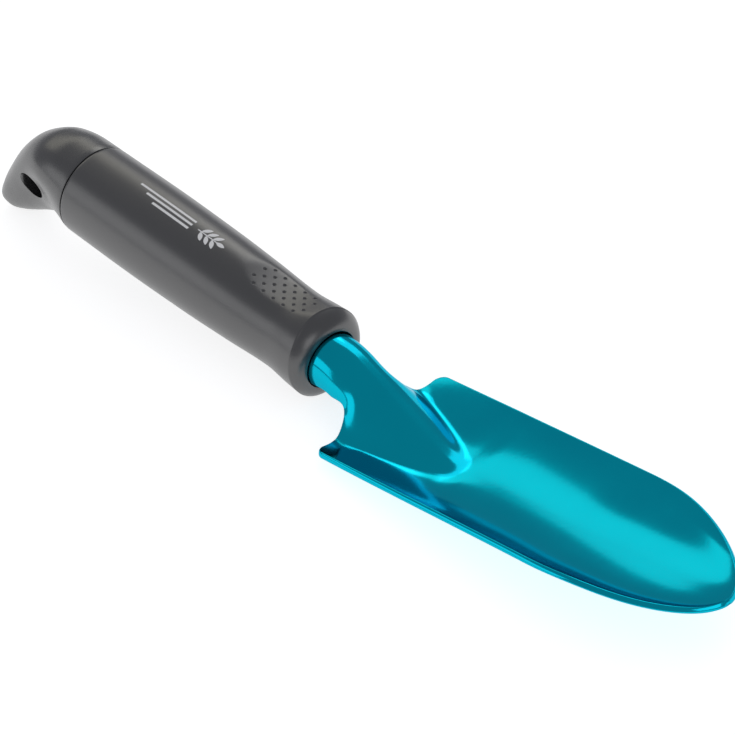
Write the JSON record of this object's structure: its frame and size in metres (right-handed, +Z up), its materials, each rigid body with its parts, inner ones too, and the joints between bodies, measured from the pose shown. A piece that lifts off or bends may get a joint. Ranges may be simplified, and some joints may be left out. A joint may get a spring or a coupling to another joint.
{
  "type": "hand trowel",
  "caption": "Hand trowel: dished pressed-steel blade with a pointed tip, rolled neck, soft contoured grip with a dimpled thumb rest and a hooked end cap with a hanging hole.",
  "frame": {"origin": "centre of the bounding box on the table plane, with the trowel lying dish upwards on the hook of its cap and the belly of its blade", "axes": "+X from the end cap towards the blade tip, +Z up, +Y to the left seen from the cap"},
  "size_m": [0.3406, 0.0576, 0.0421],
  "materials": {
    "blade_enamel": "glossy enamel over steel",
    "core_plastic": "moulded",
    "grip_soft": "satin soft-touch",
    "cap_plastic": "satin",
    "print_white": "pad-printed ink"
  },
  "bodies": {
    "root": {"blade": "blade_enamel", "grip_core": "core_plastic", "grip_sleeve": "grip_soft", "end_cap": "cap_plastic"}
  },
  "joints": []
}
